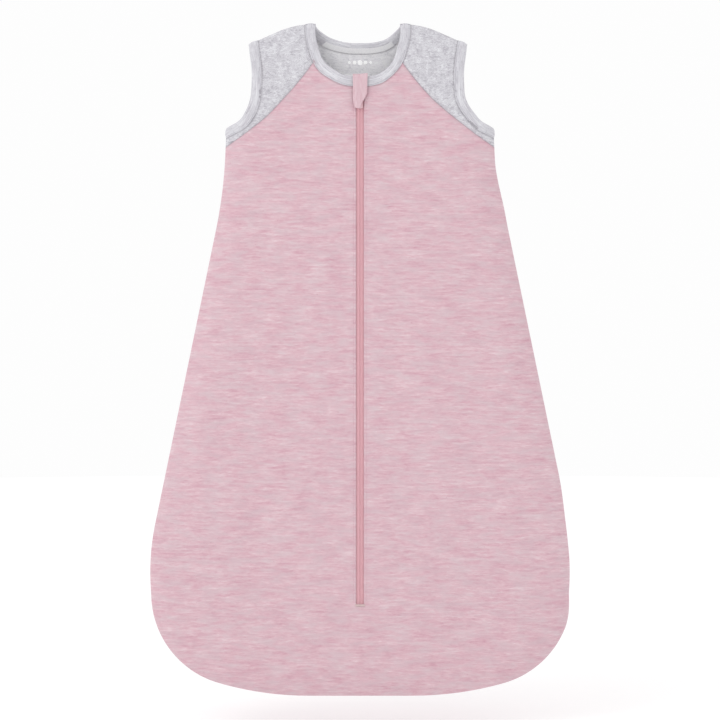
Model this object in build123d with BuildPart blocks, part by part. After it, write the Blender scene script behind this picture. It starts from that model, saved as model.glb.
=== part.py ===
from build123d import *
import os

os.makedirs("parts", exist_ok=True)

# A sleeveless baby sleeping bag, hanging by its shoulders, in millimetres.
# X runs across the bag, its front faces -Y and Z is up, with Z = 0 at the top of the shoulders.
# "Left" is the side at -X. A "drop" is a distance below the top of the shoulders.

# Overall form
BAG_LENGTH = 700.0
HALF_DEPTH = 15.0  # the empty bag is 30 mm from front to back
RIM_RADIUS = 13.0  # rounding where front and back meet at the side seams
SHOULDER_HALF_DEPTH = 7.0
SHOULDER_TAPER_DROP = 38.0  # the shoulders grow thinner above this
REACH = 400.0  # past every edge of the bag

# Cloth layers, as depths in from the outer face
OUTER_CLOTH = 2.0
LINING_FROM = 2.2
LINING_TO = 3.4
BINDING_PROUD = 0.6
BINDING_TO = 3.6
BINDING_WIDTH = 10.5

# Half of the bag's outline: corners, and the radius that rounds each inner one
OUTLINE_CORNERS = [
    (0, 0),
    (66, 0),
    (136, -31),
    (142, -175),
    (220, -552),
    (214, -668),
    (100, -BAG_LENGTH),
    (0, -BAG_LENGTH),
]
OUTLINE_RADII = [90, 18, 500, 250, 97, 340]

# Openings: corners of half of each edge, and the radius that rounds each inner one.
# The neck is lower in front than behind.
FRONT_NECK = [(44.5, 12), (44, -15), (36, -42), (16, -56), (0, -56)]
FRONT_NECK_RADII = [60, 28, 30]
BACK_NECK = [(44.5, 12), (44.5, -1), (30, -14), (12, -18), (0, -18)]
BACK_NECK_RADII = [10, 35, 60]
ARMHOLE = [(120, 14), (109.5, -50), (111, -82), (125, -102), (143, -109.5)]
ARMHOLE_RADII = [120, 40, 22]

# Raglan seams, from the neck binding to the underarm
FRONT_RAGLAN = [(46.5, -42), (84, -86), (142, -130)]
BACK_RAGLAN = [(40, -14), (78, -72), (142, -130)]

# Zip: a narrow slit down the front, with its tapes, coils and slider inside
ZIP_TOP = 66.9
ZIP_END = 603.0
SLIT_HALF = 4.2
TAPE_HALF = 15.8
TAPE_FROM = 2.2
TAPE_TO = 3.2
COIL_TO = 5.3
COIL_HALF = 2.8
MEETING_HALF = 0.3  # half of the gap where the two tapes meet
GUARD_FROM = 6.8
GUARD_TO = 7.6
GUARD_RIGHT = 12.0

# The front folds open along a line from the neck to the end of the zip
FOLD_TOP = (47.5, -30)
FOLD_GAP = 0.3
FOLD_TOP_GAP = 1.0  # wider across the binding, which turns there

# Slider
SLIDER_TOP = 68.0
SLIDER_LENGTH = 11.0
SLIDER_HALF = 3.7
PULL_PIVOT_DROP = 73.0
PULL_PIVOT_LIFT = 0.2  # in front of the cloth's outer face
PULL_LENGTH = 16.5
PULL_HALF = 3.0

# Zip garage: a cloth tab folded over the top of the zip
GARAGE_HALF = 8.0
GARAGE_TOP = 50.3
GARAGE_TIP = 90.0
GARAGE_LIFT = 3.0
GARAGE_THICKNESS = 1.2


def depth(inward):
    """The Y of a plane that lies a distance inside the bag's outer front face."""
    return -HALF_DEPTH + inward


def pillow(grow):
    """The whole form of the bag with nothing hollow, grown all round by a distance."""
    half = HALF_DEPTH + grow
    top_half = SHOULDER_HALF_DEPTH + grow
    with BuildPart() as form:
        with BuildSketch(Plane.XZ.offset(-half)):
            with BuildLine():
                FilletPolyline(*OUTLINE_CORNERS, radius=OUTLINE_RADII)
                mirror(about=Plane.YZ)
            make_face()
            if grow:
                offset(amount=grow)
        extrude(amount=2 * half)
        fillet(form.faces().filter_by(Axis.Y).edges(), RIM_RADIUS + grow)
        with BuildSketch(Plane.YZ.offset(-REACH)):
            with BuildLine():
                Polyline(
                    (0, -BAG_LENGTH - REACH),
                    (half, -BAG_LENGTH - REACH),
                    (half, -SHOULDER_TAPER_DROP),
                    (top_half, grow),
                    (0, grow),
                )
                mirror(about=Plane.YZ)
            make_face()
        extrude(amount=2 * REACH, mode=Mode.INTERSECT)
    return form.part


def wall(outer, inner):
    """A layer of cloth all round the bag, between two depths in from the outer face."""
    return pillow(-outer) - pillow(-inner)


def prism(sketch, front=True, back=True):
    """A sketch of the front view, extruded through the front half, the back half or both."""
    start = REACH if front else 0
    end = REACH if back else 0
    with BuildPart() as block:
        with BuildSketch(Plane.XZ.offset(-end)):
            add(sketch)
        extrude(amount=start + end)
    return block.part


def neck_face(corners, radii):
    """A neck opening from half of its edge, closed above the shoulders."""
    with BuildSketch() as face:
        with BuildLine():
            edge = FilletPolyline(*corners, radius=radii)
            Line(edge @ 0, (0, corners[0][1]))
            mirror(about=Plane.YZ)
        make_face()
    return face.sketch


def grown(sketch, amount):
    """A sketch grown by a distance on every side."""
    with BuildSketch() as larger:
        add(sketch)
        offset(amount=amount)
    return larger.sketch


def armhole_face():
    """Everything outside the right armhole's edge, down to the underarm."""
    with BuildSketch() as face:
        with BuildLine():
            edge = FilletPolyline(*ARMHOLE, radius=ARMHOLE_RADII)
            Polyline(edge @ 1, (REACH, ARMHOLE[-1][1]), (REACH, ARMHOLE[0][1]), edge @ 0)
        make_face()
    return face.sketch


def yoke_face(seam):
    """Everything above the right raglan seam, out to the armhole."""
    with BuildSketch() as face:
        with BuildLine():
            arc = ThreePointArc(*seam)
            Polyline(arc @ 1, (REACH, seam[-1][1]), (REACH, REACH), (0, REACH), (0, seam[0][1]), arc @ 0)
        make_face()
    return face.sketch


def fold_face(gap, top_gap):
    """The right half of the front that folds open, set in from its edges by two gaps."""
    top = FOLD_TOP[1] - top_gap
    with BuildSketch() as face:
        with BuildLine():
            Polyline((-gap, top), (FOLD_TOP[0] - gap, top), (-gap, -ZIP_END), close=True)
        make_face()
    return face.sketch


def front_box(x_from, x_to, drop_from, drop_to, inward_from, inward_to):
    """A block of the front, by its X range, its range of drop and its depths inward."""
    middle = depth((inward_from + inward_to) / 2)
    with BuildPart() as block:
        with Locations(((x_from + x_to) / 2, middle, -(drop_from + drop_to) / 2)):
            Box(x_to - x_from, inward_to - inward_from, drop_to - drop_from)
    return block.part


def write(part, label):
    """Label a finished piece and write it to its own file."""
    part.label = label
    export_step(part, f"parts/{label}.step")


# Regions of the front view, made once
FRONT_NECK_FACE = neck_face(FRONT_NECK, FRONT_NECK_RADII)
BACK_NECK_FACE = neck_face(BACK_NECK, BACK_NECK_RADII)
ARMHOLE_FACE = armhole_face()
FRONT_NECK_HOLE = prism(FRONT_NECK_FACE, back=False)
BACK_NECK_HOLE = prism(BACK_NECK_FACE, front=False)
FRONT_NECK_ZONE = prism(grown(FRONT_NECK_FACE, BINDING_WIDTH), back=False)
BACK_NECK_ZONE = prism(grown(BACK_NECK_FACE, BINDING_WIDTH), front=False)
ARMHOLE_CUT = prism(ARMHOLE_FACE)
ARMHOLE_ZONE = prism(grown(ARMHOLE_FACE, BINDING_WIDTH))
YOKE_ZONE = prism(yoke_face(FRONT_RAGLAN), back=False) + prism(yoke_face(BACK_RAGLAN), front=False)
FOLD_ZONE = prism(fold_face(FOLD_GAP / 2, FOLD_TOP_GAP / 2), back=False)
FOLD_CUT = prism(fold_face(-FOLD_GAP / 2, -FOLD_TOP_GAP / 2), back=False)
SLIT = front_box(-SLIT_HALF, SLIT_HALF, 0, ZIP_END, -RIM_RADIUS, HALF_DEPTH)
TAPE_ROOM = TAPE_HALF + FOLD_GAP
TAPE_SLOT = front_box(-TAPE_ROOM, TAPE_ROOM, 0, ZIP_END + RIM_RADIUS, 0, HALF_DEPTH)
FRONT_HALF = front_box(-REACH, REACH, -REACH, BAG_LENGTH + REACH, -REACH, HALF_DEPTH)

# Layers of the whole bag, made once
OUTER_WALL = wall(0, OUTER_CLOTH)
LINING_WALL = wall(LINING_FROM, LINING_TO)
BINDING_WALL = wall(-BINDING_PROUD, BINDING_TO)


def both(zone):
    """A region at +X together with its mirror image."""
    return zone + zone.mirror(Plane.YZ)


# Front panel of the outer jersey: one piece with a slit, outside the two fold lines
with BuildPart() as front_panel:
    add(OUTER_WALL)
    add(FRONT_HALF, mode=Mode.INTERSECT)
    add(both(YOKE_ZONE), mode=Mode.SUBTRACT)
    add(FRONT_NECK_ZONE, mode=Mode.SUBTRACT)
    add(both(ARMHOLE_ZONE), mode=Mode.SUBTRACT)
    add(both(FOLD_CUT), mode=Mode.SUBTRACT)
    add(SLIT, mode=Mode.SUBTRACT)
write(front_panel.part, "front_panel")

# Back panel of the outer jersey
with BuildPart() as back_panel:
    add(OUTER_WALL)
    add(FRONT_HALF, mode=Mode.SUBTRACT)
    add(both(YOKE_ZONE), mode=Mode.SUBTRACT)
    add(BACK_NECK_ZONE, mode=Mode.SUBTRACT)
    add(both(ARMHOLE_ZONE), mode=Mode.SUBTRACT)
write(back_panel.part, "back_panel")

# Lining of the front, outside the fold lines and the zip tapes
with BuildPart() as lining_front:
    add(LINING_WALL)
    add(FRONT_HALF, mode=Mode.INTERSECT)
    add(FRONT_NECK_ZONE, mode=Mode.SUBTRACT)
    add(both(ARMHOLE_ZONE), mode=Mode.SUBTRACT)
    add(both(FOLD_CUT), mode=Mode.SUBTRACT)
    add(TAPE_SLOT, mode=Mode.SUBTRACT)
write(lining_front.part, "lining_front")

# Lining of the back
with BuildPart() as lining_back:
    add(LINING_WALL)
    add(FRONT_HALF, mode=Mode.SUBTRACT)
    add(BACK_NECK_ZONE, mode=Mode.SUBTRACT)
    add(both(ARMHOLE_ZONE), mode=Mode.SUBTRACT)
write(lining_back.part, "lining_back")

# Neck binding round the back and over the shoulders, down to the fold lines
with BuildPart() as neck_binding_back:
    add(BINDING_WALL)
    add(FRONT_NECK_ZONE + BACK_NECK_ZONE, mode=Mode.INTERSECT)
    add(FRONT_NECK_HOLE, mode=Mode.SUBTRACT)
    add(BACK_NECK_HOLE, mode=Mode.SUBTRACT)
    add(both(FOLD_CUT), mode=Mode.SUBTRACT)
    add(SLIT, mode=Mode.SUBTRACT)
write(neck_binding_back.part, "neck_binding_back")

# The pieces that come in pairs are made at +X and mirrored to -X
with BuildPart() as shoulder_yoke:
    add(OUTER_WALL)
    add(YOKE_ZONE, mode=Mode.INTERSECT)
    add(FRONT_NECK_ZONE, mode=Mode.SUBTRACT)
    add(BACK_NECK_ZONE, mode=Mode.SUBTRACT)
    add(ARMHOLE_ZONE, mode=Mode.SUBTRACT)
    add(FOLD_CUT, mode=Mode.SUBTRACT)

with BuildPart() as armhole_binding:
    add(BINDING_WALL)
    add(ARMHOLE_ZONE, mode=Mode.INTERSECT)
    add(ARMHOLE_CUT, mode=Mode.SUBTRACT)

with BuildPart() as front_flap:
    add(OUTER_WALL)
    add(FOLD_ZONE, mode=Mode.INTERSECT)
    add(FRONT_NECK_ZONE, mode=Mode.SUBTRACT)
    add(SLIT, mode=Mode.SUBTRACT)

with BuildPart() as lining_flap:
    add(LINING_WALL)
    add(FOLD_ZONE, mode=Mode.INTERSECT)
    add(FRONT_NECK_ZONE, mode=Mode.SUBTRACT)
    add(TAPE_SLOT, mode=Mode.SUBTRACT)

with BuildPart() as neck_binding_end:
    add(BINDING_WALL)
    add(FOLD_ZONE, mode=Mode.INTERSECT)
    add(FRONT_NECK_ZONE, mode=Mode.INTERSECT)
    add(FRONT_NECK_HOLE, mode=Mode.SUBTRACT)
    add(SLIT, mode=Mode.SUBTRACT)

# Zip tape, cut back at its top so that the slider's post passes between the two tapes
POST_HALF = 1.0
NOTCH_HALF = 1.6
NOTCH_DROP = 72.5
with BuildPart() as zip_tape:
    add(front_box(MEETING_HALF, TAPE_HALF, ZIP_TOP, ZIP_END + RIM_RADIUS, TAPE_FROM, TAPE_TO))
    add(front_box(0, NOTCH_HALF, 0, NOTCH_DROP, 0, HALF_DEPTH), mode=Mode.SUBTRACT)

COIL_TOP = 72.8
BOTTOM_STOP_TOP = ZIP_END - 5
with BuildPart() as zip_coil:
    add(front_box(MEETING_HALF, COIL_HALF, COIL_TOP, BOTTOM_STOP_TOP - 0.3, TAPE_TO + 0.1, COIL_TO))

STOP_HEIGHT = 1.0
with BuildPart() as zip_top_stop:
    add(front_box(NOTCH_HALF, SLIDER_HALF - 0.4, ZIP_TOP, ZIP_TOP + STOP_HEIGHT, TAPE_TO, COIL_TO))

for piece, name in (
    (shoulder_yoke, "shoulder_yoke"),
    (armhole_binding, "armhole_binding"),
    (front_flap, "front_flap"),
    (lining_flap, "lining_flap"),
    (neck_binding_end, "neck_binding"),
    (zip_tape, "zip_tape"),
    (zip_coil, "zip_coil"),
    (zip_top_stop, "zip_top_stop"),
):
    write(piece.part, f"{name}_right")
    write(piece.part.mirror(Plane.YZ), f"{name}_left")

# Bottom stop, clamped round both coils
with BuildPart() as zip_bottom_stop:
    add(front_box(-COIL_HALF, COIL_HALF, BOTTOM_STOP_TOP, ZIP_END - 1, TAPE_TO, COIL_TO))
write(zip_bottom_stop.part, "zip_bottom_stop")

# Bar tack: a dense bar of stitching across the slit's lower end
TACK_HALF = 5.0
TACK_HEIGHT = 2.4
with BuildPart() as zip_bar_tack:
    add(front_box(-TACK_HALF, TACK_HALF, ZIP_END + 0.2, ZIP_END + TACK_HEIGHT, -BINDING_PROUD, 0))
write(zip_bar_tack.part, "zip_bar_tack")

# Guard: a strip of cloth behind the zip, sewn to the left side
with BuildPart() as zip_guard:
    add(front_box(-TAPE_HALF, GUARD_RIGHT, ZIP_TOP - 1, ZIP_END + 2, GUARD_FROM, GUARD_TO))
write(zip_guard.part, "zip_guard")

# Neck tape: covers the lower edge of the binding inside the back neck
TAPE_STRIP_FROM = 5.0
TAPE_STRIP_TO = 10.8
TAPE_STRIP_THICKNESS = 0.8
TAPE_STRIP_HALF = 30.0
with BuildPart() as neck_tape:
    add(wall(BINDING_TO + 0.2, BINDING_TO + 0.2 + TAPE_STRIP_THICKNESS))
    with BuildSketch(Plane.XZ.offset(-REACH)):
        add(grown(BACK_NECK_FACE, TAPE_STRIP_TO))
        add(grown(BACK_NECK_FACE, TAPE_STRIP_FROM), mode=Mode.SUBTRACT)
        Rectangle(2 * TAPE_STRIP_HALF, 2 * REACH, mode=Mode.INTERSECT)
    extrude(amount=REACH, mode=Mode.INTERSECT)
write(neck_tape.part, "neck_tape")

# Care label: a blank tab sewn into the left side seam, inside the bag
LABEL_WIDTH = 28.0
LABEL_HEIGHT = 45.0
LABEL_CENTRE = (-151.5, 0.0, -330.0)
LABEL_THICKNESS = 0.8
with BuildPart() as care_label:
    with Locations(LABEL_CENTRE):
        Box(LABEL_WIDTH, LABEL_THICKNESS, LABEL_HEIGHT)
write(care_label.part, "care_label")

# Slider body: a front plate, a back plate and the post between them, with side flanges
SLIDER_BOTTOM = SLIDER_TOP + SLIDER_LENGTH
FRONT_PLATE = (0.9, 1.9)
BACK_PLATE = (5.5, 6.5)
FLANGE = 0.6
POST_TOP = SLIDER_TOP + 1
POST_BOTTOM = SLIDER_TOP + 4
PLATE_CORNER = 1.8
with BuildPart() as slider_body:
    add(front_box(-SLIDER_HALF, SLIDER_HALF, SLIDER_TOP, SLIDER_BOTTOM, FRONT_PLATE[0], BACK_PLATE[1]))
    fillet(slider_body.edges().filter_by(Axis.Y), PLATE_CORNER)
    inner = SLIDER_HALF - FLANGE
    add(
        front_box(-inner, inner, 0, BAG_LENGTH, TAPE_TO + 0.3, BACK_PLATE[0]),
        mode=Mode.SUBTRACT,
    )
    add(
        front_box(-REACH, REACH, 0, BAG_LENGTH, FRONT_PLATE[1], TAPE_TO + 0.3),
        mode=Mode.SUBTRACT,
    )
    add(front_box(-POST_HALF, POST_HALF, POST_TOP, POST_BOTTOM, FRONT_PLATE[0], BACK_PLATE[1]))
write(slider_body.part, "slider_body")

# Crown: the arch on the front plate that holds the pull
CROWN_TOP = 70.2
CROWN_BOTTOM = 77.4
CROWN_LIFT = 2.4
CROWN_HALF = 1.2
CROWN_WALL = 1.0
with BuildPart() as slider_crown:
    add(front_box(-CROWN_HALF, CROWN_HALF, CROWN_TOP, CROWN_BOTTOM, -CROWN_LIFT, FRONT_PLATE[0]))
    fillet(slider_crown.edges().filter_by(Axis.X).group_by(Axis.Y)[0], CROWN_WALL)
    add(
        front_box(
            -CROWN_HALF,
            CROWN_HALF,
            CROWN_TOP + CROWN_WALL,
            CROWN_BOTTOM - CROWN_WALL,
            -CROWN_LIFT + CROWN_WALL,
            FRONT_PLATE[0],
        ),
        mode=Mode.SUBTRACT,
    )
write(slider_crown.part, "slider_crown")

# Pull: a flat tab whose bar lies under the crown
PULL_THICKNESS = 1.2
PULL_HEAD = 0.7  # above the bar, short enough to turn clear of the slider
PULL_CORNER = 1.8
WINDOW_HALF = 1.7
WINDOW_LENGTH = 6.0
BAR_RADIUS = 0.5
PULL_BACK = depth(-PULL_PIVOT_LIFT + PULL_THICKNESS / 2)
with BuildPart() as zip_pull:
    with BuildSketch(Plane.XZ.offset(-PULL_BACK)):
        with Locations((0, -PULL_PIVOT_DROP + (PULL_HEAD - PULL_LENGTH) / 2)):
            RectangleRounded(2 * PULL_HALF, PULL_LENGTH + PULL_HEAD, PULL_CORNER)
        with Locations((0, -PULL_PIVOT_DROP + (PULL_HEAD - WINDOW_LENGTH) / 2)):
            Rectangle(2 * WINDOW_HALF, WINDOW_LENGTH + PULL_HEAD, mode=Mode.SUBTRACT)
    extrude(amount=PULL_THICKNESS)
    with Locations(Location((0, depth(-PULL_PIVOT_LIFT), -PULL_PIVOT_DROP), (0, 90, 0))):
        Cylinder(BAR_RADIUS, 2 * WINDOW_HALF + 1)
write(zip_pull.part, "zip_pull")

# Garage: the front leg of the folded tab, cut to a slanting tip
GARAGE_SHAPE = [
    (-GARAGE_HALF, -GARAGE_TOP),
    (GARAGE_HALF, -GARAGE_TOP),
    (GARAGE_HALF, -GARAGE_TIP + 15),
    (0.5, -GARAGE_TIP),
    (-5.5, -GARAGE_TIP),
    (-GARAGE_HALF, -GARAGE_TIP + 8),
]
with BuildPart() as zip_garage:
    with BuildSketch(Plane.XZ.offset(-depth(-GARAGE_LIFT))):
        with BuildLine():
            Polyline(*GARAGE_SHAPE, close=True)
        make_face()
    extrude(amount=GARAGE_THICKNESS)
write(zip_garage.part, "zip_garage")

# Garage anchor: where the tab passes over the neck edge and is sewn inside it
ANCHOR_GAP = 0.4
ANCHOR_BACK = 5.4
ANCHOR_DROP = 62.0
ANCHOR_SEWN_RIGHT = -1.0
with BuildPart() as garage_anchor:
    add(
        front_box(
            -GARAGE_HALF,
            GARAGE_HALF,
            GARAGE_TOP,
            GARAGE_TOP + GARAGE_THICKNESS,
            -GARAGE_LIFT + ANCHOR_GAP,
            ANCHOR_BACK,
        )
    )
    add(
        front_box(
            -GARAGE_HALF,
            ANCHOR_SEWN_RIGHT,
            GARAGE_TOP,
            ANCHOR_DROP,
            ANCHOR_BACK - GARAGE_THICKNESS,
            ANCHOR_BACK,
        )
    )
write(garage_anchor.part, "garage_anchor")
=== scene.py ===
"""Looks of the baby sleeping bag. Lengths are in millimetres until a mesh is made, with the axes of the
frame: X across, the front towards -Y, Z up from the top of the shoulders."""

import math

import bpy
import numpy as np
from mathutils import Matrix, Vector
from mathutils.geometry import delaunay_2d_cdt


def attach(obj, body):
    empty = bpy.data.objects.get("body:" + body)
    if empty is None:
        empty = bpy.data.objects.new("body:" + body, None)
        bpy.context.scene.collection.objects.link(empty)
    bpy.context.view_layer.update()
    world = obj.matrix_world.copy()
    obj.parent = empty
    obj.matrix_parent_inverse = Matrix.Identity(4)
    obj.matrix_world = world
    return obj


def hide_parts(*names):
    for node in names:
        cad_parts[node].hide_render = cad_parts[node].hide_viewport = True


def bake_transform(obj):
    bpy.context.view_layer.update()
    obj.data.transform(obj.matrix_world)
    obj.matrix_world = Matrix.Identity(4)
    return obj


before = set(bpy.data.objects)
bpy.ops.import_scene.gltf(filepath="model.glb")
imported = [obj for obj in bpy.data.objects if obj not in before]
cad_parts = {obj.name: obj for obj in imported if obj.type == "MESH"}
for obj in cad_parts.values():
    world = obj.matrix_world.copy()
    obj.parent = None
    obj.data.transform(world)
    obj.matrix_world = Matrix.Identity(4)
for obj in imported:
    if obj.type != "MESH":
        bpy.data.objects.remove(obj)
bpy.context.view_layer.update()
MM = 0.001

# Measures shared with the CAD
LENGTH = 700.0
OUTLINE = [(0, 0), (66, 0), (136, -31), (142, -175), (220, -552), (214, -668), (100, -700), (0, -700)]
OUTLINE_RADII = [90, 18, 500, 250, 97, 340]
FRONT_NECK = [(44.5, 12), (44, -15), (36, -42), (16, -56), (0, -56)]
FRONT_NECK_RADII = [60, 28, 30]
BACK_NECK = [(44.5, 12), (44.5, -1), (30, -14), (12, -18), (0, -18)]
BACK_NECK_RADII = [10, 35, 60]
ARMHOLE = [(120, 14), (109.5, -50), (111, -82), (125, -102), (143, -109.5)]
ARMHOLE_RADII = [120, 40, 22]
FRONT_RAGLAN = [(46.5, -42), (84, -86), (142, -130)]
BACK_RAGLAN = [(40, -14), (78, -72), (142, -130)]
BINDING = 10.5
SLIT = 3.9
ZIP_TOP = 66.9
ZIP_END = 603.0
FOLD_TOP = (47.5, -30.0)
FRONT_Y = -15.0
GRID = 4.5
ROWS_APART = 0.866  # of GRID, for even triangles
CLEAR = 0.45  # of GRID, kept free of loose points beside a seam
HALF_WIDE = 230
HIDDEN_EDGE = 2.0  # the cloth ends this far inside the bindings' rims
LINING_EDGE = 9.0
PAST_ZIP = 12  # the lining's opening runs this far past the zip's end
OUTER_THICK = 1.7
LINING_LIFT = -2.0
LINING_THICK = 1.0
ARMPIT_X, ARMPIT_DROP = 142, 112
SEAM_IN = 9.15  # the bindings' stitches run this far from their rims
BINDING_STITCH_LIFT = 0.42
ZIP_STITCH_IN = 2.6  # the zip's stitches run this far from the slit's edge
STITCH, STITCH_GAP, THREAD = 2.6, 0.55, 0.2
THREAD_SIDES = 6
FAR_OUT, FAR_UP = 400, 60  # well clear of the bag
TURN = 6.28  # a full turn, for the phases of folds
SIDES = ("left", "right")
MIRRORS = (("left", -1), ("right", 1))


def unit(v):
    return v / np.linalg.norm(v)


def units(vectors):
    """Each vector of an array at length 1."""
    return vectors / np.linalg.norm(vectors, axis=-1)[..., None]


def resample(points, step):
    """The same path with its points evenly spaced."""
    points = np.asarray(points, float)
    at = np.concatenate([[0], np.cumsum(np.linalg.norm(np.diff(points, axis=0), axis=1))])
    count = max(2, int(round(at[-1] / step)) + 1)
    where = np.linspace(0, at[-1], count)
    return np.stack([np.interp(where, at, points[:, k]) for k in range(points.shape[1])], 1)


def rounded(corners, radii, step=2.0):
    """Straight runs joined by tangent arcs."""
    corners = [np.array(c, float) for c in corners]
    points = [corners[0]]
    for i, radius in enumerate(radii, 1):
        here = corners[i]
        before = unit(corners[i - 1] - here)
        after = unit(corners[i + 1] - here)
        half = math.acos(np.clip(before @ after, -1, 1)) / 2
        run = radius / math.tan(half)
        centre = here + unit(before + after) * radius / math.sin(half)
        first = here + before * run - centre
        last = here + after * run - centre
        start = math.atan2(first[1], first[0])
        turn = (math.atan2(last[1], last[0]) - start + math.pi) % (2 * math.pi) - math.pi
        count = max(3, int(abs(turn) * radius / 0.5) + 1)
        angles = start + turn * np.linspace(0, 1, count)
        points.extend(centre + radius * np.stack([np.cos(angles), np.sin(angles)], 1))
    points.append(corners[-1])
    return resample(points, step)


def arc_through(a, b, c):
    """The arc through three points."""
    a, b, c = (np.array(p, float) for p in (a, b, c))
    m = np.array([b - a, c - a]) * 2
    centre = np.linalg.solve(m, [b @ b - a @ a, c @ c - a @ a])
    radius = np.linalg.norm(a - centre)
    start = math.atan2(*(a - centre)[::-1])
    turn = (math.atan2(*(c - centre)[::-1]) - start + math.pi) % (2 * math.pi) - math.pi
    angles = start + turn * np.linspace(0, 1, 200)
    return resample(centre + radius * np.stack([np.cos(angles), np.sin(angles)], 1), 2.0)


def shifted(points, distance):
    """A path moved sideways to its left."""
    tangent = units(np.gradient(points, axis=0))
    return points + distance * np.stack([-tangent[:, 1], tangent[:, 0]], 1)


def inside(polygon, points):
    """Which points lie inside a closed polygon."""
    x, z = points[:, 0], points[:, 1]
    found = np.zeros(len(points), bool)
    for (x0, z0), (x1, z1) in zip(polygon, np.roll(polygon, -1, axis=0)):
        if z0 != z1:
            crosses = (z0 > z) != (z1 > z)
            found ^= crosses & (x < x0 + (z - z0) / (z1 - z0) * (x1 - x0))
    return found


def distance_to(path, points):
    """The distance from each point to a path."""
    best = np.full(len(points), 1e9)
    for a, b in zip(path[:-1], path[1:]):
        run = b - a
        t = np.clip(((points - a) @ run) / (run @ run), 0, 1)
        best = np.minimum(best, ((points - a - t[:, None] * run) ** 2).sum(1))
    return np.sqrt(best)


def smooth(value, low, high):
    """0 below low, 1 above high, and an even rise between them."""
    t = np.clip((value - low) / (high - low), 0, 1)
    return t * t * (3 - 2 * t)


def bell(value, width):
    """1 where value is 0, falling off on both sides."""
    return np.exp(-((value / width) ** 2))


# The curves of the right half
outline = rounded(OUTLINE, OUTLINE_RADII)
neck_front = rounded(FRONT_NECK, FRONT_NECK_RADII, 1.0)
neck_back = rounded(BACK_NECK, BACK_NECK_RADII, 1.0)
armhole = rounded(ARMHOLE, ARMHOLE_RADII, 1.0)
raglan_front = arc_through(*FRONT_RAGLAN)
raglan_back = arc_through(*BACK_RAGLAN)
BODY = np.concatenate([outline, [(-1, -LENGTH), (-1, 0)]])

# Where front and back are joined: over the shoulder and down the side to the hem
beyond_neck = outline[:, 0] > 36
beyond_arm = outline[:, 0] < 124
SHOULDER = outline[beyond_neck & beyond_arm & (outline[:, 1] > -60)]
SIDE = outline[outline[:, 1] < -102]
JOINED = [SHOULDER, SIDE]


def edge_distance(points):
    """How far a point of the right half is from the joined edges."""
    return np.minimum(*[distance_to(path, points) for path in JOINED])


# Folds of the hanging cloth: long soft flutes, drag lines under the arms and small puckers at seams
chance = np.random.default_rng(7)
FLUTES = [
    (chance.uniform(70, 130), chance.uniform(-0.16, 0.16), chance.uniform(0, TURN)) for _ in range(5)
]
RIPPLES = [(chance.uniform(26, 48), chance.uniform(0, TURN / 2), chance.uniform(0, TURN)) for _ in range(9)]


def folds(x, z, away, back):
    """Small in-and-out movement of the cloth, outwards positive."""
    drop = -z
    side = np.where(x < 0, 1.7, 0.0) + (2.3 if back else 0.0)
    flute = sum(np.sin(TURN / w * (x + lean * z) + phase + side) for w, lean, phase in FLUTES) / len(FLUTES)
    waves = (TURN / w * (x * np.cos(turn) + z * np.sin(turn)) + phase for w, turn, phase in RIPPLES)
    ripple = sum(np.sin(wave + side) for wave in waves) / len(RIPPLES)
    reach = np.hypot(np.abs(x) - ARMPIT_X, z + ARMPIT_DROP)
    bearing = np.arctan2(z + ARMPIT_DROP, ARMPIT_X - np.abs(x))
    drag = np.sin(9 * bearing + side) * np.exp(-reach / 55) * smooth(reach, 4, 30)
    centre = 1.0 if back else smooth(np.abs(x), 16, 70)
    body = smooth(drop, 70, 260) * centre
    total = 2.1 * flute * body + 0.9 * ripple * smooth(drop, 20, 90) * centre + 1.1 * drag
    hem = np.sin(TURN / 17 * (x + 0.7 * z) + side) * bell(away - 9, 7)
    total = total + 0.32 * (hem * smooth(drop, 120, 200))
    if not back:
        beside = np.abs(x) - SLIT
        pucker = np.sin(TURN / 15 * z + side + 0.3 * np.sin(z / 23)) * bell(beside - 7, 6)
        total = total + 0.22 * pucker * smooth(drop, 80, 110) * (1 - smooth(drop, 585, 603))
    return total * smooth(away, 1.5, 22)


def depth(points, back, plain):
    """How far the outer cloth stands from the middle plane, at points of the front view."""
    x, z = points[:, 0], points[:, 1]
    half = np.stack([np.abs(x), z], 1)
    away = edge_distance(half)
    drop = -z
    full = 8.5 + 6.5 * smooth(drop, 0, 46)
    if back:
        full = full + 3.0 * smooth(drop, 60, 260)
    full = full - (4.0 if back else 2.5) * smooth(drop, 590, 700)
    radius = 17 + 17 * smooth(drop, 20, 150)
    t = np.clip(away / radius, 0, 1)
    found = full * np.sqrt(np.maximum(1 - (1 - t) ** 2, 0))
    if plain:
        return found
    found = found + folds(x, z, away, back)
    seam = distance_to(raglan_back if back else raglan_front, half)
    found = found - 0.75 * bell(seam, 0.9) * smooth(away, 0, 3)
    found = found + 0.35 * bell(seam - 2.6, 1.3) * smooth(away, 0, 3)
    if not back:
        turned = np.clip((np.abs(x) - SLIT) / 1.6, 0, 1)
        rolled = 1.3 * (1 - np.sqrt(np.maximum(1 - (1 - turned) ** 2, 0)))
        stitched = 0.28 * bell(np.abs(x) - SLIT - ZIP_STITCH_IN, 0.7)
        found = found - (rolled + stitched) * (drop < ZIP_END)
    return np.maximum(found, 0)


def sway(x, z):
    """The hanging bag isn't quite even: its right side stands out a little and its shoulders lean left."""
    drop = -z
    right = smooth(x, 25, 150)
    side = 4.4 * right * smooth(drop, 140, 200) * (1 - smooth(drop, 470, 545))
    corner = 3.0 * right * smooth(drop, 590, 630)
    shoulder = -2.2 * smooth(np.abs(x), 22, 42) * (1 - smooth(drop, 76, 104))
    return side + corner + shoulder


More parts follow.
